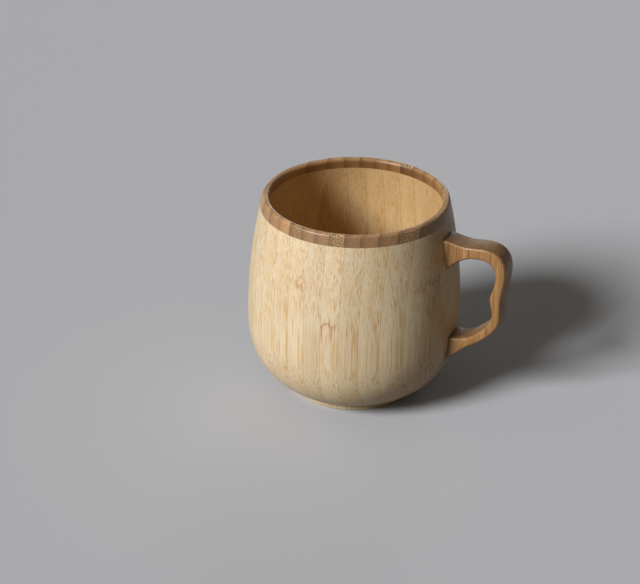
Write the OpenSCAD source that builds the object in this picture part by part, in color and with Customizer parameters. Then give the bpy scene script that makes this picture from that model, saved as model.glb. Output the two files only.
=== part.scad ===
// Bamboo cup: a bowl turned from a block of glued bamboo sticks, with a darker ring
// of steamed bamboo strips glued on as its rim, and a carved handle glued to its side.
// Z is up, the bowl turns about Z, it stands on Z = 0, and the handle points along X.

/* [Bowl] */
// Outer diameter at the widest place
body_d = 90; // [84:1:100]
// Height of the whole cup, from the underside of the foot to the lip
cup_h = 88; // [80:1:100]
// Height of the widest place above the underside of the foot
belly_h = 33.3; // [31:0.1:38]
// Radius of the long arc from the widest place up to the lip
upper_arc = 233; // [180:1:400]
// Radius of the arc just under the widest place
belly_arc = 48; // [42:1:60]
// Radius of the tight arc that turns in towards the foot
corner_arc = 28; // [25:0.5:31]
// How far below the widest place the tight arc begins
corner_drop = 10.6; // [7:0.1:14]
// Thickness of the wall
wall_t = 3; // [2.6:0.1:4]
// Thickness of the floor
floor_t = 6; // [5:0.1:8]
// Radius between the wall and the floor, inside
inner_corner = 20; // [15:0.5:24]

/* [Foot] */
// Diameter of the flat foot
foot_d = 53.2; // [50:0.2:56]
// Rounding at the bottom edge of the foot
foot_round = 0.6; // [0.3:0.1:1]

/* [Rim] */
// Height of the darker ring
rim_h = 4.6; // [3:0.1:8]
// Rounding of the two edges of the lip
rim_round = 1.3; // [0.4:0.1:1.4]
// Number of strips that the ring is glued from, side by side
strip_count = 14; // [8:1:18]
// How thick the turning leaves the first strip, away from the handle
first_strip_t = 2.55; // [2:0.05:5]
// How thick the turning leaves the last strip, next to the handle
last_strip_t = 4.35; // [2:0.05:5]

/* [Glued block] */
// Number of layers of sticks, across the handle's direction
layer_count = 13; // [9:1:15]
// How thick the turning leaves the first layer, away from the handle
first_layer_t = 4.2; // [3.5:0.1:5.5]
// How thick the turning leaves the last layer, next to the handle
last_layer_t = 3.3; // [3.2:0.1:5]
// Number of sticks side by side in one layer
stick_count = 5; // [4:1:8]
// How much wider than the bowl these sticks are together, before turning
stick_spare = 7.9; // [4:0.1:14]
// How far the middle of these sticks lies beside the axis
stick_shift = -1.6; // [-3:0.1:2]
// Thickness of every glue joint, left open here
glue_t = 0.05; // [0.03:0.01:0.12]

/* [Handle] */
// How far the handle stands out past the widest place of the bowl
handle_reach = 22.5; // [18:0.5:30]
// Width of the handle, side to side
handle_w = 10.4; // [8:0.1:14]
// Distance from the rim's joint down to the top of the handle
handle_drop = 6; // [3:0.1:12]
// Height of the handle's lowest point above the underside of the foot
handle_low = 24; // [18:0.5:30]
// Thickness of the grip
grip_t = 4; // [3.4:0.1:6]
// Depth of the handle where it meets the bowl
root_t = 11; // [8:0.1:13]
// Rounding of the handle's long edges
handle_round = 1.2; // [0.6:0.1:1.6]
// Number of layers that the handle's blank is glued from
handle_layers = 4; // [3:1:6]
// How far the blank reaches in past the widest place, before it is hollowed
handle_seat = 3.1; // [1:0.1:5]

/* [Hidden] */
$fa = 4;
$fs = 0.5;
// Steps drawn round a full circle of the outline, whose long arc is only a small share of one
arc_steps = 256;

// Extra length of every cut, past what it cuts
overrun = 1;

// Outline of the bowl: three arcs that run into each other, each as centre radius and centre height
body_r = body_d / 2;
upper_r = body_r - upper_arc;
belly_r = body_r - belly_arc;
corner_sin = corner_drop / belly_arc;
corner_cos = sqrt(1 - corner_sin * corner_sin);
corner_r = belly_r + (belly_arc - corner_arc) * corner_cos;
corner_h = belly_h - (belly_arc - corner_arc) * corner_sin;

// Foot: its upright edge reaches up to where the tight arc has its radius
foot_r = foot_d / 2;
foot_top = corner_h - sqrt(pow(corner_arc, 2) - pow(foot_r - corner_r, 2));

// Inside: the corner arc touches both the floor and the arc of the wall
inside_arc = belly_arc - wall_t;
inside_h = floor_t + inner_corner;
inside_r = belly_r + sqrt(pow(inside_arc - inner_corner, 2) - pow(belly_h - inside_h, 2));
inside_meet = belly_h - (belly_h - inside_h) * inside_arc / (inside_arc - inner_corner);

// Lip: a small arc on each edge, both with their centres at one height
joint_h = cup_h - rim_h;
lip_h = cup_h - rim_round;
lip_rise = lip_h - belly_h;
lip_out_arc = upper_arc - rim_round;
lip_in_arc = upper_arc - wall_t + rim_round;
lip_out_r = upper_r + sqrt(pow(lip_out_arc, 2) - pow(lip_rise, 2));
lip_in_r = upper_r + sqrt(pow(lip_in_arc, 2) - pow(lip_rise, 2));
lip_out_meet = belly_h + lip_rise * upper_arc / lip_out_arc;
lip_in_meet = belly_h + lip_rise * (upper_arc - wall_t) / lip_in_arc;

// Joints: the thickness or width of one piece, and where the first piece begins
layer_t = (body_d - first_layer_t - last_layer_t) / (layer_count - 2);
layer_start = first_layer_t - body_r - layer_t;
stick_w = (body_d + stick_spare) / stick_count;
stick_start = stick_shift - (body_d + stick_spare) / 2;
ring_r = upper_r + sqrt(pow(upper_arc, 2) - pow(joint_h - belly_h, 2));
strip_w = (2 * ring_r - first_strip_t - last_strip_t) / (strip_count - 2);
strip_start = first_strip_t - ring_r - strip_w;
handle_layer_t = (handle_reach + handle_seat) / handle_layers;

// Handle: its middle line starts and ends inside the wall, this far in from the widest place
handle_sink = 7;
handle_out = body_r + handle_reach;
handle_start = body_r - handle_sink;
handle_rise = joint_h - handle_drop - handle_low;
handle_span = handle_out - grip_t / 2 - handle_start;
edge_r = min(handle_round, grip_t * 0.4);

// Middle line of the handle: share of the way out, share of the way up, and share
// of the way from the grip's thickness to the root's depth
handle_shares = [
    [0.00, 0.876, 1.60], [0.19, 0.909, 1.04], [0.32, 0.925, 0.57], [0.46, 0.938, 0.23],
    [0.60, 0.949, 0.16], [0.74, 0.951, 0.20], [0.86, 0.934, 0.25], [0.94, 0.898, 0.22],
    [0.985, 0.851, 0.13], [1.00, 0.781, 0.03], [0.985, 0.705, 0.02], [0.96, 0.644, 0.05],
    [0.94, 0.581, 0.11], [0.96, 0.498, -0.04], [0.963, 0.442, -0.04], [0.945, 0.386, -0.02],
    [0.857, 0.312, -0.01], [0.72, 0.243, 0.00], [0.606, 0.197, -0.02], [0.463, 0.157, 0.14],
    [0.348, 0.127, 0.46], [0.178, 0.089, 1.00], [0.00, 0.049, 1.70]
];

// Steps drawn between two of those points, and steps round one edge of the handle
line_steps = 3;
edge_steps = 3;

function two_digits(n) = str(n < 10 ? "0" : "", n);

body_names = [for (n = [1:layer_count]) str("body_layer_", two_digits(n))];
rim_names = [for (n = [1:strip_count]) str("rim_strip_", two_digits(n))];
handle_names = [for (n = [1:handle_layers]) str("handle_layer_", n)];

// Pale and steamed bamboo, each stick a little lighter or darker than the next
function pale(n) = [0.87, 0.75, 0.56] * (1 - 0.05 * ((n * 3) % 4) / 3);
function steamed(n) = [0.56, 0.38, 0.24] * (1 - 0.22 * ((n * 5) % 7) / 6);

// The part of a turned outline that one arc bounds, between two heights
module arc_zone(centre_r, centre_h, arc, from_h, to_h) {
    intersection() {
        union() {
            translate([centre_r, centre_h]) circle(arc, $fn = arc_steps);
            if (centre_r > 0) translate([0, from_h]) square([centre_r, to_h - from_h]);
        }
        translate([0, from_h]) square([body_d, to_h - from_h]);
    }
}

// Outside of the bowl from the foot to the rim's joint, moved out by the given distance.
// Each zone laps up into the one above, where its own smaller arc lies further in.
module outside(out) {
    turn_h = belly_h - (belly_arc + out) * corner_sin;
    arc_zone(upper_r, belly_h, upper_arc + out, belly_h, joint_h);
    arc_zone(belly_r, belly_h, belly_arc + out, turn_h, belly_h + overrun);
    arc_zone(corner_r, corner_h, corner_arc + out, foot_top, turn_h + overrun);
    translate([0, foot_round]) square([foot_r + out, foot_top - foot_round + overrun]);
    arc_zone(foot_r - foot_round, foot_round, foot_round + out, 0, foot_round);
}

// Space inside the bowl, from its floor to above the rim's joint
module inside() {
    arc_zone(upper_r, belly_h, upper_arc - wall_t, belly_h, joint_h + overrun);
    arc_zone(belly_r, belly_h, inside_arc, inside_meet, belly_h + overrun);
    arc_zone(inside_r, inside_h, inner_corner, floor_t, inside_meet + overrun);
}

// The bowl as it comes off the lathe, before the rim goes on
module turned_bowl() {
    rotate_extrude($fn = arc_steps) difference() {
        outside(0);
        inside();
    }
}

// The rim's ring, with its lip rounded outside and inside
module turned_rim() {
    rotate_extrude($fn = arc_steps) difference() {
        union() {
            arc_zone(upper_r, belly_h, upper_arc, joint_h + glue_t, lip_out_meet);
            arc_zone(lip_out_r, lip_h, rim_round, lip_h, cup_h);
        }
        arc_zone(upper_r, belly_h, upper_arc - wall_t, joint_h - overrun, cup_h);
        difference() {
            translate([0, lip_in_meet]) square([lip_in_r, rim_h]);
            translate([lip_in_r, lip_h]) circle(rim_round, $fn = arc_steps);
        }
    }
}

// The space of one layer of the block, full height, less half a glue joint on each side
module slice(from_x, thickness, height) {
    translate([from_x + glue_t / 2, -body_d, -overrun])
        cube([thickness - glue_t, 2 * body_d, height + 2 * overrun]);
}

// The same space, cut into its sticks
module sticks(from_x, thickness, height) {
    for (row = [0:stick_count - 1])
        translate([from_x + glue_t / 2, stick_start + row * stick_w + glue_t / 2, -overrun])
            cube([thickness - glue_t, stick_w - glue_t, height + 2 * overrun]);
}

// One layer of the bowl: a wall stick at each side and floor sticks between them
module body_layer(n) {
    color(pale(n)) intersection() {
        turned_bowl();
        sticks(layer_start + (n - 1) * layer_t, layer_t, cup_h);
    }
}

// One strip of the rim, which the mouth cuts into a front and a back piece
module rim_strip(n) {
    color(steamed(n)) intersection() {
        turned_rim();
        slice(strip_start + (n - 1) * strip_w, strip_w, cup_h);
    }
}

// A smooth line through four neighbouring points, at a share of the way from b to c
function smooth(a, b, c, d, t) =
    (2 * b + (c - a) * t + (2 * a - 5 * b + 4 * c - d) * t * t + (3 * b - 3 * c + d - a) * t * t * t) / 2;

// The middle line of the handle at full size: distance from the axis, height, thickness
function handle_point(share) = [
    handle_start + share[0] * handle_span,
    handle_low + share[1] * handle_rise,
    grip_t + share[2] * (root_t - grip_t)
];
handle_points = [for (share = handle_shares) handle_point(share)];
last_point = len(handle_points) - 1;
handle_line = concat(
    [for (i = [0:last_point - 1], k = [0:line_steps - 1]) smooth(
        handle_points[max(i - 1, 0)], handle_points[i],
        handle_points[i + 1], handle_points[min(i + 2, last_point)], k / line_steps)],
    [handle_points[last_point]]
);

// One cross-section of the handle: a rounded rectangle square to the middle line
function across(i) =
    let (a = handle_line[max(i - 1, 0)], b = handle_line[min(i + 1, len(handle_line) - 1)])
    let (way = [b[0] - a[0], b[1] - a[1]])
    [-way[1], way[0]] / norm(way);
function handle_section(i) = [
    for (corner = [0:3], k = [0:edge_steps])
        let (turn = 90 * (corner + k / edge_steps), p = handle_line[i], out = across(i))
        let (u = (corner == 0 || corner == 3 ? 1 : -1) * (p[2] / 2 - edge_r) + edge_r * cos(turn))
        let (v = (corner < 2 ? 1 : -1) * (handle_w / 2 - edge_r) + edge_r * sin(turn))
        [p[0] + out[0] * u, v, p[1] + out[1] * u]
];

// The handle's blank, carved round its whole length, with its ends still inside the wall
module handle_blank() {
    rings = len(handle_line);
    sides = 4 * (edge_steps + 1);
    polyhedron(
        points = [for (i = [0:rings - 1]) each handle_section(i)],
        faces = concat(
            [[for (k = [0:sides - 1]) k]],
            [for (i = [0:rings - 2], k = [0:sides - 1]) let (m = (k + 1) % sides)
                [i * sides + k, (i + 1) * sides + k, (i + 1) * sides + m, i * sides + m]],
            [[for (k = [sides - 1:-1:0]) (rings - 1) * sides + k]]
        )
    );
}

// One layer of the handle. The innermost one is hollowed to sit on the bowl.
module handle_layer(n) {
    inner_x = n == 1 ? 0 : handle_out - (handle_layers - n + 1) * handle_layer_t;
    outer_x = n == handle_layers ? handle_out + overrun : handle_out - (handle_layers - n) * handle_layer_t;
    color(steamed(n + 2)) difference() {
        intersection() {
            handle_blank();
            slice(inner_x, outer_x - inner_x, cup_h);
        }
        if (n == 1) rotate_extrude($fn = arc_steps) outside(glue_t);
    }
}

for (n = [1:layer_count])
    body_layer(n);
for (n = [1:strip_count])
    rim_strip(n);
for (n = [1:handle_layers])
    handle_layer(n);
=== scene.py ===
# %% [markdown]
# # A turned bamboo cup
#
# This lesson makes a drinking cup of glued bamboo. A block is glued from pale sticks, turned on
# a lathe to a round bowl, topped with a ring of darker, steamed strips, and given a carved
# handle. The solids of every stick, strip and layer are already there, at their real size.
# Here each of them gets its finished surface: a fine mesh, and wood that looks like bamboo.
#
# We start by loading the solids. They never move, and every new piece is made where they are.

# %% Load the solids
import math

import bmesh
import bpy
from mathutils import Matrix, Vector


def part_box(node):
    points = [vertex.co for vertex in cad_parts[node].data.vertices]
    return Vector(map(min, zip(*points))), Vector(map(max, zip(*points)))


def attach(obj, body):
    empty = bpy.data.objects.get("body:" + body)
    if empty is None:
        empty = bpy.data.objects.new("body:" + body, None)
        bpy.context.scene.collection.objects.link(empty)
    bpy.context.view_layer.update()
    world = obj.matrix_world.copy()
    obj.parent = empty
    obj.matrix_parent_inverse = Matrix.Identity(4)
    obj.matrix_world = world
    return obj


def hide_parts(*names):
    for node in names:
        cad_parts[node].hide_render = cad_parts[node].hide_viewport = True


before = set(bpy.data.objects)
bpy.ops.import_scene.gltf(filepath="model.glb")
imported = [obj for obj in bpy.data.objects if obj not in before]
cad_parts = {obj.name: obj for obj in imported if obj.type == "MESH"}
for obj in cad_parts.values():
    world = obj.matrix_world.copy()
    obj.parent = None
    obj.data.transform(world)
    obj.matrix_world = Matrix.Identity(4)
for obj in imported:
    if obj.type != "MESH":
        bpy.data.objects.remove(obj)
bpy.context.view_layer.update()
mm = 0.001

body_nodes = sorted(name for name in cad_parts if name.startswith("body_layer"))
rim_nodes = sorted(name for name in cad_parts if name.startswith("rim_strip"))
handle_nodes = sorted(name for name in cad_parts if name.startswith("handle_layer"))
print(len(body_nodes), "layers of the bowl,", len(rim_nodes), "strips of the rim and",
      len(handle_nodes), "layers of the handle")

# %% [markdown]
# The joints of the block are flat planes, and the boxes of the solids say where they are. The
# solids leave each joint open by the thickness of its glue, so a joint's middle is halfway
# between one box and the next. A list of these planes is all that we need to cut the turned
# bowl into its layers later on. The joints between the sticks of one layer don't show in its
# box, so their spacing and the place of one of them are written down.

# %% Find the joints
def joints(names):
    """Middle of the glue joint between each solid and the next, along X."""
    boxes = [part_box(name) for name in names]
    return [(left[1].x + right[0].x) / 2 for left, right in zip(boxes, boxes[1:])]


layer_joints = joints(body_nodes)
strip_joints = joints(rim_nodes)
handle_joints = joints(handle_nodes)
layer_t = layer_joints[1] - layer_joints[0]
strip_w = strip_joints[1] - strip_joints[0]
handle_layer_t = handle_joints[1] - handle_joints[0]
stick_w = 19.58 * mm
stick_joint = 8.19 * mm
print(f"layers {layer_t / mm:.2f} mm, strips {strip_w / mm:.2f} mm,",
      f"handle layers {handle_layer_t / mm:.2f} mm")

# %% [markdown]
# The camera stands where the photo was taken from. It looks down at the cup by a third of a
# right angle, and sees the handle on the right. A long lens keeps the cup's upright lines
# nearly parallel. The camera's own axes are worked out from three turns: round the upright
# axis, down, and a small tilt of the whole picture.

# %% Set up the camera
camera_turn = math.radians(24.254)
camera_pitch = math.radians(28.547)
camera_roll = math.radians(0.504)
camera_place = Vector((258.4, -608.9, 402.0)) * mm


def camera_axes(turn, pitch, roll):
    """Right, up and forward of a camera that looks along +Y before it is turned left."""
    level = math.cos(pitch)
    forward = Vector((-math.sin(turn) * level, math.cos(turn) * level, -math.sin(pitch)))
    right = Vector((math.cos(turn), math.sin(turn), 0))
    up = right.cross(forward)
    tilted_right = right * math.cos(roll) + up * math.sin(roll)
    return tilted_right, tilted_right.cross(forward), forward


long_lens, sensor_width = 100, 36
camera = bpy.data.objects.new("camera", bpy.data.cameras.new("camera"))
bpy.context.scene.collection.objects.link(camera)
camera.data.lens = long_lens
camera.data.sensor_width = sensor_width
right, up, forward = camera_axes(camera_turn, camera_pitch, camera_roll)
camera.matrix_world = Matrix((
    (right.x, up.x, -forward.x, camera_place.x),
    (right.y, up.y, -forward.y, camera_place.y),
    (right.z, up.z, -forward.z, camera_place.z),
    (0, 0, 0, 1)))
bpy.context.scene.camera = camera
print("camera", [round(v / mm) for v in camera_place], "mm")

# %% [markdown]
# ## Drawing an outline
#
# A turner cuts the bowl along one outline, so we draw that outline first. In edit mode we
# start from a plane merged to one point, and then grow the line point by point: an extrude
# makes a straight stretch, and a spin about a centre makes an arc. Both leave the last point
# selected, so the next stretch carries on from there, much as a pen does.

# %% Pen strokes
arc_step = math.radians(3)


def select_nothing():
    bpy.ops.object.select_all(action="DESELECT")


def start_line(name, x, z):
    """A new object in edit mode, with one point in the XZ plane."""
    select_nothing()
    bpy.ops.mesh.primitive_plane_add(size=mm, location=(x, 0, z))
    piece = bpy.context.object
    piece.name = name
    bpy.ops.object.transform_apply(location=True, rotation=False, scale=False)
    bpy.ops.object.mode_set(mode="EDIT")
    bpy.ops.mesh.select_all(action="SELECT")
    bpy.ops.mesh.merge(type="CENTER")
    return piece


def pen():
    """Where the selected point is."""
    points = bmesh.from_edit_mesh(bpy.context.object.data).verts
    return next(p.co.copy() for p in points if p.select)


def line_to(x, z):
    move = Vector((x, 0, z)) - pen()
    bpy.ops.mesh.extrude_region_move(TRANSFORM_OT_translate={"value": move})


def arc_to(centre, x, z, step=arc_step):
    """Spins the pen about a centre until it points at x and z."""
    start = pen()
    start_angle = math.atan2(start.z - centre[1], start.x - centre[0])
    end_angle = math.atan2(z - centre[1], x - centre[0])
    sweep = math.remainder(end_angle - start_angle, math.tau)
    steps = max(2, math.ceil(abs(sweep) / step))
    bpy.ops.mesh.spin(steps=steps, angle=sweep, center=(centre[0], 0, centre[1]),
                      axis=(0, 1, 0))


print("arcs turn by up to", round(math.degrees(arc_step)), "degrees between points")

# %% [markdown]
# ## The bowl's outline
#
# Three arcs that run into each other make the outside: a long, almost straight one up to the
# rim, a rounder one under the widest place, and a tight one that turns in to the foot. The
# inside follows 3 mm further in, and a corner arc leads it to the floor. Two arcs run into
# each other smoothly where their centres and the meeting point lie on one line.

# %% Sizes of the bowl
middle_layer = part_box(body_nodes[len(body_nodes) // 2])
middle_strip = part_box(rim_nodes[len(rim_nodes) // 2])
cup_h = middle_strip[1].z
body_r = -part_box(body_nodes[0])[0].x
joint_h = (middle_layer[1].z + middle_strip[0].z) / 2
belly_h = 33.3 * mm
upper_arc = 233 * mm
belly_arc = 48 * mm
corner_arc = 28 * mm
corner_drop = 10.6 * mm
wall_t = 3 * mm
floor_t = 6 * mm
inner_corner = 20 * mm
foot_r = 26.6 * mm
foot_round = 0.6 * mm

upper = (body_r - upper_arc, belly_h)
belly = (body_r - belly_arc, belly_h)
lean = math.asin(corner_drop / belly_arc)
corner = (belly[0] + (belly_arc - corner_arc) * math.cos(lean),
          belly_h - (belly_arc - corner_arc) * math.sin(lean))


def wall_r(height, arc):
    """Distance from the axis of the long arc, or of a copy of it further in."""
    return upper[0] + math.sqrt(arc ** 2 - (height - belly_h) ** 2)


print(f"cup {cup_h / mm:.1f} mm high and {2 * body_r / mm:.1f} mm wide,",
      f"rim from {joint_h / mm:.1f} mm up")

# %% [markdown]
# Drawing the outside is a chain of strokes from the foot's middle up to the rim. The handle
# will need the same outside later, to be hollowed to the wall, so the strokes are a function
# with a distance by which the whole line is moved in.

# %% Draw the outside
foot_step = math.radians(12)
wall_step = math.radians(1)


def draw_outside(name, inset):
    """The outline from the foot's middle to the rim's joint, moved in by inset."""
    piece = start_line(name, 0, inset)
    foot_centre = (foot_r - foot_round, foot_round)
    line_to(foot_centre[0], inset)
    arc_to(foot_centre, foot_r - inset, foot_round, foot_step)
    low = corner[1] - math.sqrt((corner_arc - inset) ** 2 - (foot_r - inset - corner[0]) ** 2)
    line_to(foot_r - inset, low)
    arc_to(corner, belly[0] + (belly_arc - inset) * math.cos(lean),
           belly_h - (belly_arc - inset) * math.sin(lean))
    arc_to(belly, body_r - inset, belly_h)
    arc_to(upper, wall_r(joint_h, upper_arc - inset), joint_h, wall_step)
    return piece


print(f"the foot is {2 * foot_r / mm:.1f} mm wide")

# %% [markdown]
# The lathe is a spin as well, this time of the whole outline round the upright axis. A full
# turn leaves two copies of the outline on each other at the seam, and a pile of points where
# it touches the axis, so doubles are merged. Then the faces are made to point outwards.
#
# For the bowl, the pen goes on from the rim's joint down the inside, which runs one wall's
# thickness further in and meets the floor in a corner arc.

# %% Turn the bowl
def turn_on_lathe(piece, turn_steps=360):
    """Spins an outline in edit mode, and closes the seam and the poles."""
    bpy.ops.mesh.select_all(action="SELECT")
    bpy.ops.mesh.spin(steps=turn_steps, angle=math.tau, center=(0, 0, 0), axis=(0, 0, 1))
    bpy.ops.mesh.select_all(action="SELECT")
    bpy.ops.mesh.remove_doubles(threshold=0.001 * mm)
    bpy.ops.mesh.normals_make_consistent(inside=False)
    bpy.ops.object.mode_set(mode="OBJECT")
    print(piece.name, "turned,", len(piece.data.polygons), "faces")


inside_arc = belly_arc - wall_t
inside_h = floor_t + inner_corner
inside_out = math.sqrt((inside_arc - inner_corner) ** 2 - (belly_h - inside_h) ** 2)
inside = (belly[0] + inside_out, inside_h)
inside_lean = math.atan2(inside_h - belly_h, inside[0] - belly[0])

bowl = draw_outside("bowl_blank", 0)
line_to(wall_r(joint_h, upper_arc - wall_t), joint_h)
arc_to(upper, body_r - wall_t, belly_h, wall_step)
arc_to(belly, belly[0] + inside_arc * math.cos(inside_lean),
       belly_h + inside_arc * math.sin(inside_lean))
arc_to(inside, inside[0], floor_t)
line_to(0, floor_t)
turn_on_lathe(bowl)

# %% [markdown]
# ## Cutting the block
#
# The bowl is whole now, but the real one was a block of glued sticks before it was turned. We
# get the sticks back by cutting: bisect slices a mesh with a plane, throws one side away and
# fills the cut. The cuts stop a hair short of the joint, so each stick stays a closed solid
# of its own.
#
# A finished piece is smoothed, but not over its sharp edges. It rides on the cup's one body, and
# stands for its solid.

# %% Cut a piece
joint_gap = 0.02 * mm
smooth_angle = math.radians(15)


def copy_of(piece, name):
    copy = piece.copy()
    copy.data = piece.data.copy()
    copy.name = name
    bpy.context.scene.collection.objects.link(copy)
    return copy


def focus(piece):
    select_nothing()
    piece.select_set(True)
    bpy.context.view_layer.objects.active = piece


def keep_between(piece, axis, low, high):
    """Cuts a piece at one or two planes square to axis 0, 1 or 2, and keeps what is between."""
    focus(piece)
    bpy.ops.object.mode_set(mode="EDIT")
    normal = [0, 0, 0]
    normal[axis] = 1
    for place, above in ((low, True), (high, False)):
        if place is not None:
            point = [0, 0, 0]
            point[axis] = place + (joint_gap / 2 if above else -joint_gap / 2)
            bpy.ops.mesh.select_all(action="SELECT")
            bpy.ops.mesh.bisect(plane_co=point, plane_no=normal, use_fill=True,
                                clear_inner=above, clear_outer=not above, threshold=0.0001 * mm)
    bpy.ops.object.mode_set(mode="OBJECT")
    return piece


def join(pieces):
    """Joins pieces into the first one."""
    select_nothing()
    for piece in pieces:
        piece.select_set(True)
    bpy.context.view_layer.objects.active = pieces[0]
    bpy.ops.object.join()
    return pieces[0]


def finish_piece(piece, node, angle=smooth_angle):
    """Smooths a piece up to a sharp angle, and lets it stand for its solid."""
    focus(piece)
    bpy.ops.object.shade_smooth_by_angle(angle=angle)
    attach(piece, "root")
    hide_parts(node)
    return piece


print(f"the cuts leave each joint {joint_gap / mm:.2f} mm open")

# %% [markdown]
# Cutting a copy of the bowl at both joints of a layer, and then again at the joints between
# its sticks, leaves each stick with its own share of the turned surface. A row that misses the
# bowl gives an empty mesh, which is thrown away. The sticks of one layer are joined again into
# one object, each still a closed solid in it.

# %% Cut the bowl into layers and sticks
def cut_sticks(slab):
    """Cuts one layer at the joints between its sticks."""
    first = math.floor((-body_r - stick_joint) / stick_w)
    last = math.ceil((body_r - stick_joint) / stick_w)
    sticks = []
    for row in range(first, last):
        low = stick_joint + row * stick_w
        stick = keep_between(copy_of(slab, "stick"), 1, low, low + stick_w)
        if stick.data.polygons:
            sticks.append(stick)
        else:
            bpy.data.objects.remove(stick)
    bpy.data.objects.remove(slab)
    return join(sticks)


body_pieces = []
layer_sides = [None] + layer_joints + [None]
for number, node in enumerate(body_nodes):
    slab = keep_between(copy_of(bowl, "slab"), 0, layer_sides[number], layer_sides[number + 1])
    layer = cut_sticks(slab)
    layer.name = f"turned_layer_{number + 1:02d}"
    body_pieces.append(finish_piece(layer, node))
bpy.data.objects.remove(bowl)
print(len(body_pieces), "layers,", sum(len(p.data.polygons) for p in body_pieces), "faces")

# %% [markdown]
# ## The rim
#
# The darker ring is glued on top and turned together with the bowl, so its outside carries on
# the same long arc. Its lip is rounded on both edges with a small arc each. The ring is made
# of narrow strips that lie across the cup, so the same cuts along X divide it.

# %% Turn the rim and cut it into strips
rim_round = 1.3 * mm
lip_h = cup_h - rim_round
lip_out = (wall_r(lip_h, upper_arc - rim_round), lip_h)
lip_in = (wall_r(lip_h, upper_arc - wall_t + rim_round), lip_h)
lip_step = math.radians(10)

ring = start_line("rim_blank", wall_r(joint_h, upper_arc - wall_t), joint_h)
line_to(wall_r(joint_h, upper_arc), joint_h)
arc_to(upper, *lip_out)
arc_to(lip_out, lip_out[0], cup_h, lip_step)
line_to(lip_in[0], cup_h)
arc_to(lip_in, *upper, lip_step)
arc_to(upper, wall_r(joint_h, upper_arc - wall_t), joint_h)
turn_on_lathe(ring)

rim_pieces = []
strip_sides = [None] + strip_joints + [None]
for number, node in enumerate(rim_nodes):
    strip = keep_between(copy_of(ring, "strip"), 0, strip_sides[number], strip_sides[number + 1])
    strip.name = f"turned_strip_{number + 1:02d}"
    rim_pieces.append(finish_piece(strip, node))
bpy.data.objects.remove(ring)
print(len(rim_pieces), "strips,", sum(len(p.data.polygons) for p in rim_pieces), "faces")

# %% [markdown]
# ## The handle
#
# The handle is sawn out of a layered blank along two curved lines, and its edges are rounded
# by hand. Both lines follow one middle line: a list of places along the way, each with its
# share of the way out, its share of the way up, and how much thicker than the grip it is
# there. A smooth curve runs through these places, and the two lines lie on either side of it.

# %% The handle's middle line
grip_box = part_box(handle_nodes[-1])
handle_w = grip_box[1].y - grip_box[0].y
grip_t = 4 * mm
root_t = 11 * mm
root_sunk = 7 * mm
handle_reach = 22.5 * mm
handle_drop = 6 * mm
handle_low = 24 * mm
handle_start = body_r - root_sunk
handle_rise = joint_h - handle_drop - handle_low
handle_span = body_r + handle_reach - grip_t / 2 - handle_start
handle_shares = [
    (0.00, 0.876, 1.60), (0.19, 0.909, 1.04), (0.32, 0.925, 0.57), (0.46, 0.938, 0.23),
    (0.60, 0.949, 0.16), (0.74, 0.951, 0.20), (0.86, 0.934, 0.25), (0.94, 0.898, 0.22),
    (0.985, 0.851, 0.13), (1.00, 0.781, 0.03), (0.985, 0.705, 0.02), (0.96, 0.644, 0.05),
    (0.94, 0.581, 0.11), (0.96, 0.498, -0.04), (0.963, 0.442, -0.04), (0.945, 0.386, -0.02),
    (0.857, 0.312, -0.01), (0.72, 0.243, 0.00), (0.606, 0.197, -0.02), (0.463, 0.157, 0.14),
    (0.348, 0.127, 0.46), (0.178, 0.089, 1.00), (0.00, 0.049, 1.70)]
line_steps = 8


def handle_place(share):
    """Distance from the axis, height and thickness, at full size."""
    return Vector((handle_start + share[0] * handle_span, handle_low + share[1] * handle_rise,
                   grip_t + share[2] * (root_t - grip_t)))


def between(a, b, c, d, t):
    """A smooth line through four neighbours, at a share of the way from b to c."""
    return ((2 * b + (c - a) * t + (2 * a - 5 * b + 4 * c - d) * t ** 2
             + (3 * b - 3 * c + d - a) * t ** 3) / 2)


places = [handle_place(share) for share in handle_shares]
padded = [places[0]] + places + [places[-1]]
middle = [between(*padded[i:i + 4], step / line_steps)
          for i in range(len(places) - 1) for step in range(line_steps)]
middle.append(places[-1])


def edge_line(side):
    """The line on one side of the middle line: +1 is the outer side and -1 the inner one."""
    line = []
    for i, place in enumerate(middle):
        way = middle[min(i + 1, len(middle) - 1)] - middle[max(i - 1, 0)]
        square = Vector((-way.y, way.x)).normalized()
        line.append(place.to_2d() + side * square * place.z / 2)
    return line


print("the middle line has", len(middle), "points")

# %% [markdown]
# In edit mode we draw both lines, bridge them into a flat strip, and extrude the strip by the
# handle's width. The four long edges are found by their sharpness and bevelled round. A strip
# of four-sided faces is kinder to later cuts than one large face would be.

# %% Saw out the handle and round its edges
handle_round = 1.2 * mm
round_steps = 6
edge_angle = math.radians(60)


def draw_line(line):
    for point in line:
        line_to(point.x, point.y)


inner_line, outer_line = edge_line(-1), edge_line(1)
handle = start_line("handle_blank", *inner_line[0])
draw_line(inner_line[1:])
bpy.ops.mesh.select_all(action="DESELECT")
bpy.ops.mesh.primitive_plane_add(size=mm, location=(outer_line[0].x, 0, outer_line[0].y))
bpy.ops.mesh.merge(type="CENTER")
draw_line(outer_line[1:])
bpy.ops.mesh.select_all(action="SELECT")
bpy.ops.mesh.bridge_edge_loops()
bpy.ops.mesh.select_all(action="SELECT")
bpy.ops.transform.translate(value=(0, -handle_w / 2, 0))
bpy.ops.mesh.extrude_region_move(TRANSFORM_OT_translate={"value": (0, handle_w, 0)})
bpy.ops.mesh.select_all(action="SELECT")
bpy.ops.mesh.normals_make_consistent(inside=False)
bpy.ops.mesh.select_all(action="DESELECT")
bpy.ops.mesh.select_mode(type="EDGE")
bpy.ops.mesh.edges_select_sharp(sharpness=edge_angle)
bpy.ops.mesh.bevel(offset=handle_round, segments=round_steps, profile=0.5, affect="EDGES",
                   clamp_overlap=False)
bpy.ops.mesh.select_mode(type="VERT")
bpy.ops.object.mode_set(mode="OBJECT")
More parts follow.
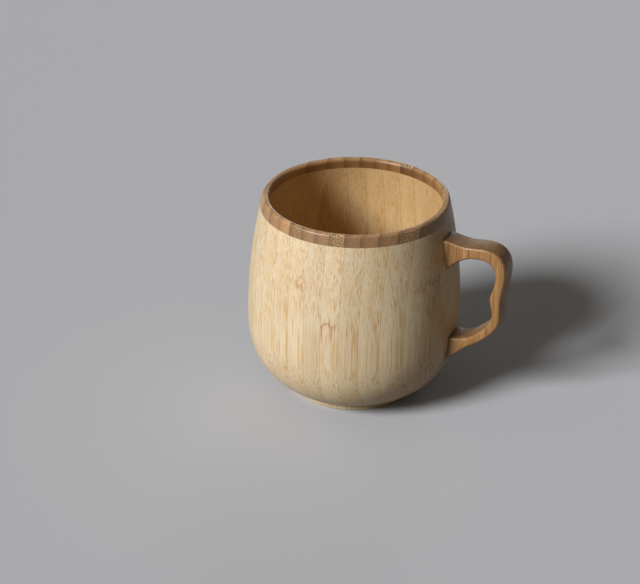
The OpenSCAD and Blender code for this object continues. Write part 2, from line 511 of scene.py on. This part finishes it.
print("handle", len(handle.data.polygons), "faces,",
      [round(v / mm, 1) for v in handle.dimensions], "mm")

# %% [markdown]
# The handle's ends still reach into the bowl. On the bench they are hollowed until they sit
# on the wall, and here a boolean does it: a plain solid with the bowl's outside is taken away
# from the handle. It is a hair smaller than the bowl, so the seat closes without a gap.

# %% Hollow the ends to the wall, and cut the layers
seat_depth = 0.05 * mm
carved_angle = math.radians(30)

seat = draw_outside("seat_cutter", seat_depth)
line_to(0, joint_h)
turn_on_lathe(seat)

focus(handle)
cut = handle.modifiers.new("seat", "BOOLEAN")
cut.operation = "DIFFERENCE"
cut.solver = "EXACT"
cut.object = seat
bpy.ops.object.modifier_apply(modifier=cut.name)
bpy.data.objects.remove(seat)

handle_pieces = []
handle_sides = [None] + handle_joints + [None]
for number, node in enumerate(handle_nodes):
    layer = copy_of(handle, "layer")
    keep_between(layer, 0, handle_sides[number], handle_sides[number + 1])
    layer.name = f"carved_layer_{number + 1}"
    handle_pieces.append(finish_piece(layer, node, carved_angle))
bpy.data.objects.remove(handle)
print(len(handle_pieces), "handle layers,",
      sum(len(p.data.polygons) for p in handle_pieces), "faces")

# %% [markdown]
# ## Bamboo
#
# Bamboo has no growth rings. It is a pale ground full of straight, thread-like bundles, a
# millimetre or so apart, that run the whole length of the stick. On a face cut along them they
# show as fine streaks, on a slanted face as short dashes, and on an end as dots. All three
# come for free if the pattern fills space: we draw dots in a plane across the stick, and let
# them run on along it. The same few nodes then serve the bowl, the rim and the handle.
#
# Writing node trees by hand is long-winded, so a few small helpers come first. One adds a node
# and fills its sockets with numbers or with links, and the others do arithmetic and mix. A
# socket is given by its name, or as _0, _1 and so on where names repeat.

# %% Node helpers
def add_node(tree, kind, output=0, settings=None, **sockets):
    """Adds a node, sets its options and sockets by name, and gives one of its outputs."""
    node = tree.nodes.new(kind)
    for name, value in (settings or {}).items():
        setattr(node, name, value)
    for name, value in sockets.items():
        key = int(name[1:]) if name[0] == "_" else name.replace("_", " ")
        socket = node.inputs[key]
        if isinstance(value, bpy.types.NodeSocket):
            tree.links.new(value, socket)
        else:
            socket.default_value = value
    return node.outputs[output]


def sums(tree, operation, *values):
    """One step of arithmetic on numbers or outputs."""
    numbered = {f"_{i}": value for i, value in enumerate(values)}
    return add_node(tree, "ShaderNodeMath", settings={"operation": operation}, **numbered)


def product(tree, *values):
    total = values[0]
    for value in values[1:]:
        total = sums(tree, "MULTIPLY", total, value)
    return total


def ramp(tree, value, low, high, from_value=0.0, to_value=1.0):
    """Turns a value between low and high into one between from_value and to_value, smoothly."""
    return add_node(tree, "ShaderNodeMapRange", settings={"interpolation_type": "SMOOTHSTEP"},
                    Value=value, From_Min=low, From_Max=high, To_Min=from_value, To_Max=to_value)


def blend(tree, factor, a, b, kind="MIX"):
    """Mixes two colours."""
    return add_node(tree, "ShaderNodeMix", 2, {"data_type": "RGBA", "blend_type": kind},
                    _0=factor, _6=a, _7=b)


def dim(tree, colour, factor):
    """Makes a colour lighter or darker by a factor."""
    grey = add_node(tree, "ShaderNodeCombineColor", _0=factor, _1=factor, _2=factor)
    return blend(tree, 1.0, colour, grey, "MULTIPLY")


def point(tree, x, y, z):
    return add_node(tree, "ShaderNodeCombineXYZ", X=x, Y=y, Z=z)


def split(tree, value, kind="XYZ"):
    """The three parts of a vector or a colour."""
    node = tree.nodes.new(f"ShaderNodeSeparate{kind}")
    tree.links.new(value, node.inputs[0])
    return node.outputs[:3]


print("helpers for node trees are ready")

# %% [markdown]
# Each stick was split from another stem, so each has its own tone, and its bundles start
# somewhere else. We number the sticks by the joints they lie between, and a white noise on
# that number gives every stick its own random numbers. Towards the outside of a stem the
# bundles crowd together, so we also need to know how far across its stick a point lies.

# %% Describe a stick
def stick_of(tree, along, layer_joint, layer_size, row_joint=0.0, row_size=1.0):
    """Where a point lies in its stick, in millimetres. Along is the axis of the bundles."""
    place = add_node(tree, "ShaderNodeTexCoord", "Object")
    in_mm = add_node(tree, "ShaderNodeMapping", Vector=place, Scale=(1 / mm, 1 / mm, 1 / mm))
    x, y, z = split(tree, in_mm)
    layer = sums(tree, "DIVIDE", sums(tree, "SUBTRACT", x, layer_joint / mm), layer_size / mm)
    row = sums(tree, "DIVIDE", sums(tree, "SUBTRACT", y, row_joint / mm), row_size / mm)
    numbers = sums(tree, "FLOOR", layer), sums(tree, "FLOOR", row)
    luck = add_node(tree, "ShaderNodeTexWhiteNoise", "Color", {"noise_dimensions": "3D"},
                    Vector=point(tree, *numbers, 0.5))
    tone, start, _ = split(tree, luck, "Color")
    u, v, w = {"Z": (x, y, z), "Y": (x, z, y)}[along]
    normal = add_node(tree, "ShaderNodeNewGeometry", "Normal")
    normal = split(tree, normal)["XYZ".index(along)]
    return {"x": x, "y": y, "z": z, "u": u, "v": v, "w": w, "numbers": numbers, "start": start,
            "share": sums(tree, "FRACT", layer), "row_share": sums(tree, "FRACT", row),
            "tone": tone, "end": sums(tree, "ABSOLUTE", normal)}


print("a stick is", round(layer_t / mm, 1), "by", round(stick_w / mm, 1), "mm across")

# %% [markdown]
# The bundles themselves are cells of a Voronoi texture in the plane across the stick. Near a
# cell's middle lies the dark core. A slow noise along the stick bends the threads a little, as
# the stem grew. A finer, stretched noise stands for the thin fibres in between, and a broad
# one for the soft clouds of colour that every pale stick has. Both patterns are shifted by the
# stick's own random share of a long way, so that no two sticks match.

# %% Draw the bundles
fibre_shift, bundle_shift = 37.0, 91.0
bend_width, bends_per_mm = 1.6, 0.035
core_edge, ground_edge = 0.4, 1.3


def fibres(tree, stick, across, along, detail=3.0):
    """Streaks along the stick, so many per millimetre across it and along it."""
    shift = product(tree, stick["start"], fibre_shift)
    place = point(tree, product(tree, sums(tree, "ADD", stick["u"], shift), across),
                  product(tree, stick["v"], across), product(tree, stick["w"], along))
    return add_node(tree, "ShaderNodeTexNoise", Vector=place, Scale=1.0, Detail=detail,
                    Roughness=0.6)


def bundles(tree, stick, spacing, radius, swell=1.0):
    """A mask that is 1 in the core of each bundle, and a random number for each bundle."""
    shift = product(tree, stick["start"], bundle_shift)
    drift = point(tree, shift, 0.0, product(tree, stick["w"], bends_per_mm))
    bend = add_node(tree, "ShaderNodeTexNoise", Vector=drift, Scale=1.0)
    bend = product(tree, bend, bend_width)
    moved = [sums(tree, "ADD", sums(tree, "ADD", stick[axis], shift), bend) for axis in "uv"]
    cells = tree.nodes.new("ShaderNodeTexVoronoi")
    cells.voronoi_dimensions = "2D"
    cells.inputs["Scale"].default_value = 1 / spacing
    tree.links.new(point(tree, *moved, 0.0), cells.inputs["Vector"])
    size = sums(tree, "MULTIPLY", swell, radius / spacing)
    core = ramp(tree, cells.outputs["Distance"], product(tree, size, core_edge),
                product(tree, size, ground_edge), 1.0, 0.0)
    return core, split(tree, cells.outputs["Color"], "Color")[0]


def joint_lines(tree, share, width_share):
    """A thin mask on both sides of a joint, by the share of the way across a stick."""
    from_middle = sums(tree, "ABSOLUTE", sums(tree, "SUBTRACT", share, 0.5))
    return ramp(tree, from_middle, 0.5 - width_share, 0.5 - width_share * 0.3)


print("bundles, fibres and joint lines are ready")

# %% [markdown]
# Colour comes last. Ground, clouds, fibres and bundles are mixed in that order, then each
# stick is made lighter or darker as a whole. The same masks give the surface a faint relief,
# since the cores stand a little proud of the ground after sanding. A thin clear coat over a
# satin ground gives the soft shine of a food-safe lacquer.

# %% Mix the wood
def new_tree(name):
    material = bpy.data.materials.new(name)
    material.use_nodes = True
    material.node_tree.nodes.clear()
    return material, material.node_tree


def finish_wood(tree, colour, relief, roughness, coat):
    """The shader: the colour, a faint relief, and a thin clear coat."""
    normal = add_node(tree, "ShaderNodeBump", Strength=0.5, Distance=0.03 * mm, Height=relief)
    shader = add_node(tree, "ShaderNodeBsdfPrincipled", Base_Color=colour, Roughness=roughness,
                      Normal=normal, IOR=1.45, Coat_Weight=coat, Coat_Roughness=0.22)
    tree.links.new(shader, tree.nodes.new("ShaderNodeOutputMaterial").inputs[0])


print("one shader serves all the wood")

# %% [markdown]
# A bamboo stem has a node every hand's breadth or so. Where a stick was cut through one, its
# bundles swell and tangle in a narrow band, and three sticks of this cup show such a scar. On
# the front a bud has left a thin arch as well. A scar is listed by the number of its layer,
# the number of its row, and its height in millimetres.
#
# The inside of the bowl is painted a darker, deeper yellow. This is painted shade that stands in
# for the warm light bouncing about in the hollow. A surface is inside where it faces the middle of
# the cup.

# %% Scars, and the inside
node_scars = [(6, -3, 50), (10, -2, 63), (4, -3, 66)]
arch_middle, arch_height, arch_radius, arch_strength = 6.8, 49.0, 2.0, 0.75
arch_legs = 9


def arch(tree, stick):
    """A mask on one thin arch at the front, round at the top and straight below."""
    side = sums(tree, "SUBTRACT", stick["x"], arch_middle)
    rise = sums(tree, "MAXIMUM", sums(tree, "SUBTRACT", stick["z"], arch_height), 0.0)
    squares = sums(tree, "ADD", product(tree, side, side), product(tree, rise, rise))
    away = sums(tree, "SUBTRACT", sums(tree, "SQRT", squares), arch_radius)
    line = ramp(tree, sums(tree, "ABSOLUTE", away), 0.1, 0.5, arch_strength, 0.0)
    front = sums(tree, "LESS_THAN", stick["y"], 0.0)
    legs = ramp(tree, stick["z"], arch_height - arch_legs, arch_height - arch_legs / 3)
    return product(tree, line, front, legs)


def scars(tree, stick, fine):
    """A mask that is 1 in a ragged band across each stick that has a scar."""
    layer, row = stick["numbers"]
    ragged_height = sums(tree, "ADD", stick["z"], ramp(tree, fine, 0.3, 0.7, -2.5, 2.5))
    total = 0.0
    for layer_number, row_number, height in node_scars:
        here = product(tree, sums(tree, "COMPARE", layer, layer_number, 0.5),
                       sums(tree, "COMPARE", row, row_number, 0.5))
        away = sums(tree, "ABSOLUTE", sums(tree, "SUBTRACT", ragged_height, height))
        total = sums(tree, "ADD", total, product(tree, here, ramp(tree, away, 0.6, 1.6, 1.0, 0.0)))
    return total


def faces_middle(tree, stick):
    """1 on a surface that faces the middle of the cup, and 0 outside."""
    normal = add_node(tree, "ShaderNodeNewGeometry", "Normal")
    above_middle = sums(tree, "SUBTRACT", stick["z"], cup_h / mm / 2)
    facing = add_node(tree, "ShaderNodeVectorMath", "Value", {"operation": "DOT_PRODUCT"},
                      _0=normal, _1=point(tree, stick["x"], stick["y"], above_middle))
    return sums(tree, "LESS_THAN", facing, 0.0)


print(len(node_scars), "sticks with a scar, and one arch")

# %% [markdown]
# The bowl has two kinds of bundles, thick ones a millimetre apart and thin, darker ones in
# between. Towards one side of a stick they take up more of the ground, as they do towards the
# skin of a stem. Each blend below lays one more detail over the colour so far.

# %% Pale bamboo for the bowl
straw, cream = (0.765, 0.615, 0.405, 1), (0.835, 0.72, 0.525, 1)
pale_fibre, pale_bundle = (0.72, 0.51, 0.28, 1), (0.67, 0.415, 0.165, 1)
thin_bundle, scar_brown = (0.54, 0.29, 0.095, 1), (0.46, 0.24, 0.085, 1)
# The second colour is painted shade: a darker, warmer yellow laid over the inside of the bowl for
# light that bounces in the hollow.
glue_brown, bowl_painted_hollow_shade = (0.42, 0.26, 0.12, 1), (0.88, 0.75, 0.55, 1)


def pale_bamboo():
    material, tree = new_tree("pale bamboo with bundles")
    stick = stick_of(tree, "Z", layer_joints[0], layer_t, stick_joint, stick_w)
    cloud = fibres(tree, stick, across=0.16, along=0.03, detail=2.0)
    fine = fibres(tree, stick, across=1.6, along=0.04)
    crowding = ramp(tree, stick["share"], 0.0, 1.0, 0.55, 1.25)
    scar = scars(tree, stick, fine)
    inside = faces_middle(tree, stick)
    thick, thick_luck = bundles(tree, stick, spacing=0.95, radius=0.28, swell=crowding)
    thin, thin_luck = bundles(tree, stick, spacing=0.55, radius=0.13,
                              swell=sums(tree, "ADD", crowding, scar))
    thick = product(tree, thick, ramp(tree, inside, 0.0, 1.0, 1.0, 0.6))
    thick_shown = product(tree, thick, ramp(tree, thick_luck, 0.0, 1.0, 0.35, 0.95))
    thin_shown = product(tree, thin, ramp(tree, thin_luck, 0.0, 1.0, 0.1, 0.7))
    scar = sums(tree, "MAXIMUM", product(tree, scar, thin, 0.8), arch(tree, stick))
    glue = sums(tree, "MAXIMUM", joint_lines(tree, stick["share"], 0.02),
                joint_lines(tree, stick["row_share"], 0.01))
    colour = blend(tree, ramp(tree, cloud, 0.3, 0.7), straw, cream)
    colour = blend(tree, ramp(tree, fine, 0.4, 0.75, 0.0, 0.5), colour, pale_fibre)
    colour = blend(tree, thick_shown, colour, pale_bundle)
    colour = blend(tree, thin_shown, colour, thin_bundle)
    colour = blend(tree, scar, colour, scar_brown)
    colour = dim(tree, colour, ramp(tree, stick["tone"], 0.0, 1.0, 0.94, 1.04))
    colour = blend(tree, product(tree, glue, 0.35), colour, glue_brown)
    # Painted shade: the inside of the bowl is multiplied darker and yellower, standing in for warm
    # light bouncing in the hollow.
    colour = blend(tree, inside, colour, bowl_painted_hollow_shade, "MULTIPLY")
    relief = sums(tree, "SUBTRACT", product(tree, thick, 0.6), fine)
    finish_wood(tree, colour, relief, ramp(tree, fine, 0.3, 0.8, 0.45, 0.58), coat=0.12)
    return material


print("ground", straw[:3], "to", cream[:3])

# %% [markdown]
# Steaming turns bamboo brown right through. The rim's strips come from many stems, and every
# strip shows its end grain at the front of the cup, so they differ much more than the sticks
# below. Each strip gets three numbers of its own: how light it is at the front, how clearly
# its bundles stand out as pale dots, and how light it is at the back. They travel with the
# piece as its object colour.

# %% Looks of the strips
strip_looks = [
    (1.10, 0.5, 1.00), (1.15, 0.5, 1.00), (1.10, 0.6, 1.00), (1.15, 0.5, 1.00), (1.35, 0.1, 0.90),
    (0.88, 0.7, 0.80), (0.97, 0.2, 0.92), (1.02, 0.5, 1.05), (1.10, 1.0, 0.66), (0.84, 0.1, 0.82),
    (0.92, 0.3, 0.95), (0.88, 0.4, 0.95), (0.80, 0.6, 1.00), (0.70, 0.4, 0.90),
]
for piece, look in zip(rim_pieces, strip_looks):
    piece.color = (*look, 1)
print(len(strip_looks), "strips with a look of their own")

# %% [markdown]
# The bundles of a strip run across the cup, along Y. At the front and the back we look at
# their ends, which are pale dots in a darker ground, and at the sides along them. Inside the
# mouth the dots are hardly seen. A strip is a little darker towards one of its joints, and its
# ends are darker than its sides.

# %% Steamed bamboo for the rim
cocoa, chestnut = (0.36, 0.20, 0.095, 1), (0.47, 0.285, 0.14, 1)
between_dots, pale_dot = (0.18, 0.09, 0.04, 1), (0.70, 0.50, 0.25, 1)
# The second colour is painted shade: a darker, warmer tint laid over the inside of the rim for
# light that bounces in the hollow.
rim_glue, rim_painted_hollow_shade = (0.09, 0.04, 0.02, 1), (0.88, 0.78, 0.64, 1)


def steamed_bamboo():
    material, tree = new_tree("steamed bamboo with dots")
    stick = stick_of(tree, "Y", strip_joints[0], strip_w)
    inside = faces_middle(tree, stick)
    carried = add_node(tree, "ShaderNodeObjectInfo", "Color")
    front_tone, dots, back_tone = split(tree, carried, "Color")
    at_back = sums(tree, "GREATER_THAN", stick["y"], 0.0)
    fine = fibres(tree, stick, across=2.4, along=0.08)
    cores, luck = bundles(tree, stick, spacing=0.7, radius=0.23)
    dots = product(tree, dots, sums(tree, "SUBTRACT", 1.0, product(tree, inside, 0.8)))
    gaps = product(tree, dots, sums(tree, "SUBTRACT", 1.0, cores), 0.5)
    shown = product(tree, dots, dots, cores, ramp(tree, luck, 0.0, 1.0, 0.6, 1.0))
    glue = product(tree, joint_lines(tree, stick["share"], 0.03), 0.5)
    colour = blend(tree, ramp(tree, fine, 0.3, 0.75), cocoa, chestnut)
    colour = dim(tree, colour, blend(tree, at_back, front_tone, back_tone))
    colour = blend(tree, gaps, colour, between_dots)
    colour = blend(tree, shown, colour, pale_dot)
    colour = dim(tree, colour, ramp(tree, stick["share"], 0.0, 0.6, 0.74, 1.06))
    colour = dim(tree, colour, ramp(tree, stick["end"], 0.2, 1.0, 1.25, 0.88))
    colour = blend(tree, glue, colour, rim_glue)
    # Painted shade: the inside of the rim is multiplied darker and warmer, standing in for warm
    # light bouncing in the hollow.
    colour = blend(tree, inside, colour, rim_painted_hollow_shade, "MULTIPLY")
    relief = sums(tree, "SUBTRACT", product(tree, cores, 0.5), fine)
    finish_wood(tree, colour, relief, ramp(tree, fine, 0.3, 0.8, 0.40, 0.52), coat=0.3)
    return material


print("ground", cocoa[:3], "to", chestnut[:3])

# %% [markdown]
# The handle is steamed as well. Its bundles run upright, so they are streaks on its sides and
# crowded dots on its top. End grain drinks more oil, which leaves the top much darker.

# %% Steamed bamboo for the handle
rust, amber = (0.37, 0.195, 0.07, 1), (0.51, 0.29, 0.112, 1)
dark_fibre, dark_bundle = (0.25, 0.12, 0.04, 1), (0.15, 0.065, 0.022, 1)


def handle_bamboo():
    material, tree = new_tree("steamed bamboo with streaks")
    stick = stick_of(tree, "Z", handle_joints[0], handle_layer_t)
    cloud = fibres(tree, stick, across=0.25, along=0.04, detail=2.0)
    fine = fibres(tree, stick, across=2.0, along=0.05)
    cores, luck = bundles(tree, stick, spacing=0.7, radius=0.2)
    shown = product(tree, cores, ramp(tree, luck, 0.0, 1.0, 0.4, 1.0))
    colour = blend(tree, ramp(tree, cloud, 0.3, 0.7), rust, amber)
    colour = blend(tree, ramp(tree, fine, 0.35, 0.7, 0.0, 0.7), colour, dark_fibre)
    colour = blend(tree, shown, colour, dark_bundle)
    colour = dim(tree, colour, ramp(tree, stick["tone"], 0.0, 1.0, 0.92, 1.08))
    colour = dim(tree, colour, ramp(tree, stick["end"], 0.3, 1.0, 1.0, 0.6))
    relief = sums(tree, "SUBTRACT", product(tree, cores, 0.5), fine)
    finish_wood(tree, colour, relief, ramp(tree, fine, 0.3, 0.8, 0.42, 0.55), coat=0.2)
    return material


finishes = [(body_pieces, pale_bamboo()), (rim_pieces, steamed_bamboo()),
            (handle_pieces, handle_bamboo())]
for pieces, material in finishes:
    for piece in pieces:
        piece.data.materials.clear()
        piece.data.materials.append(material)
    print(material.name, "on", len(pieces), "pieces,", len(material.node_tree.nodes), "nodes")

# %% [markdown]
# ## Floor and light
#
# The cup stands on a plain, pale floor that runs to the horizon. The camera sees the floor
# pale, and so do reflections, but the light that it throws back on the cup is that of a darker
# one, which keeps the shade under the belly deep. The Light Path node tells such rays apart.

# %% Floor
floor_w = 60
floor_shown, floor_thrown = (0.57, 0.60, 0.66, 1), (0.10, 0.08, 0.06, 1)


def seen(tree):
    """1 for a ray that shows a thing to the eye, and 0 for one that only carries light."""
    rays = tree.nodes.new("ShaderNodeLightPath").outputs
    straight = sums(tree, "MAXIMUM", rays["Is Camera Ray"], rays["Is Transmission Ray"])
    return sums(tree, "MAXIMUM", straight, rays["Is Glossy Ray"])


def floor_material():
    material, tree = new_tree("floor")
    colour = blend(tree, seen(tree), floor_thrown, floor_shown)
    shader = add_node(tree, "ShaderNodeBsdfPrincipled", Base_Color=colour, Roughness=0.8)
    tree.links.new(shader, tree.nodes.new("ShaderNodeOutputMaterial").inputs[0])
    return material


select_nothing()
bpy.ops.mesh.primitive_plane_add(size=floor_w)
floor = bpy.context.object
floor.name = "floor"
floor.data.materials.append(floor_material())
print("floor", floor.dimensions[0], "m wide")

# %% [markdown]
# A key light on the left lights the cup, and a weak one behind it keeps its back from going
# black. Both are sun lamps, whose light is the same all over the floor, with a disc wide enough
# for soft shadows. A lamp's place is given as in a studio: so far round from the camera to the
# left, and so high above the floor.

# %% Lamps
def soft_light(name, round_left, height, disc, strength, colour):
    """A sun lamp that shines on the cup. All three angles are in degrees."""
    turn = math.atan2(-forward.y, -forward.x) - math.radians(round_left)
    rise = math.radians(height)
    level = math.cos(rise)
    way = Vector((math.cos(turn) * level, math.sin(turn) * level, math.sin(rise)))
    light = bpy.data.lights.new(name, "SUN")
    light.angle = math.radians(disc)
    light.energy = strength
    light.color = colour
    lamp = bpy.data.objects.new(name, light)
    bpy.context.scene.collection.objects.link(lamp)
    lamp.location = way
    lamp.rotation_euler = way.to_track_quat("Z", "Y").to_euler()
    return way


key_way = soft_light("key light", round_left=52, height=33, disc=20, strength=3.35,
                     colour=(1.0, 0.97, 0.93))
soft_light("back light", round_left=190, height=10, disc=20, strength=0.3,
           colour=(1.0, 0.96, 0.92))
print("the key light comes from", [round(v, 2) for v in key_way])

# %% [markdown]
# A dim, warm sky fills the shade, and it is dimmer on the side away from the key light. A ray
# that shows it to the eye meets a plain grey backdrop instead.

# %% Sky
warm_sky, grey_backdrop = (1.0, 0.88, 0.70, 1), (0.13, 0.14, 0.155, 1)
dimmest, brightest = 0.008, 0.12

world = bpy.data.worlds.new("studio")
bpy.context.scene.world = world
world.use_nodes = True
studio = world.node_tree
facing = add_node(studio, "ShaderNodeVectorMath", "Value", {"operation": "DOT_PRODUCT"},
                  _0=add_node(studio, "ShaderNodeTexCoord", "Generated"), _1=key_way)
glow = ramp(studio, facing, -1.0, 1.0, dimmest, brightest)
shown = seen(studio)
sky = studio.nodes["Background"].inputs
studio.links.new(blend(studio, shown, warm_sky, grey_backdrop), sky["Color"])
studio.links.new(sums(studio, "MAXIMUM", glow, shown), sky["Strength"])
print("the sky's light goes from", dimmest, "to", brightest)

# %% [markdown]
# Last come the view settings.

# %% Finish
bpy.context.scene.view_settings.view_transform = "Standard"
